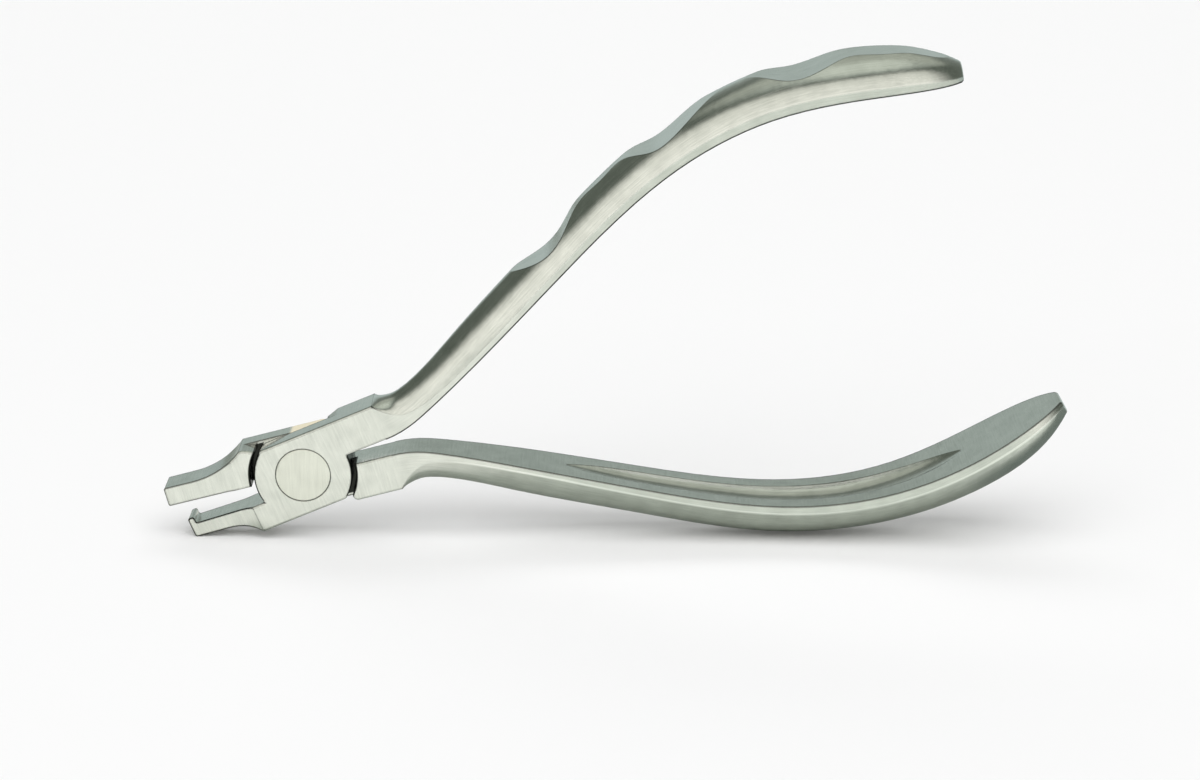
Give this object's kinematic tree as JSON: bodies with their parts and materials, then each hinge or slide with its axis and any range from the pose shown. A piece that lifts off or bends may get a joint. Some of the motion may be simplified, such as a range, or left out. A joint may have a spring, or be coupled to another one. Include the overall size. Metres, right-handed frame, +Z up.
{
  "type": "orthodontic pliers",
  "caption": "Lap-joint orthodontic pliers: crossed forged steel halves on a flush pivot screw, short square jaws with an upturned lip, bowed handles with finger grips.",
  "frame": {"origin": "on the pivot axis at the joint's flat rear face, as the pliers stand with the jaws part open", "axes": "+X from the jaws to the handles, +Y along the pivot axis from the front face to the rear face, +Z up as the pliers stand on the lower handle"},
  "size_m": [0.1391, 0.0156, 0.0762],
  "materials": {
    "satin_steel": "satin brushed stainless steel, ground flats on the joint",
    "screw_steel": "stainless steel, ground flush with the joint's faces"
  },
  "bodies": {
    "rear": {"rear_half": "satin_steel", "pivot_screw": "screw_steel"},
    "front": {"front_half": "satin_steel"}
  },
  "joints": [
    {"name": "pivot_hinge", "type": "hinge", "parent": "rear", "child": "front", "pos_m": [0, -0.0033, 0], "axis": [0, -1, 0], "range_deg": [-8, 16]}
  ]
}
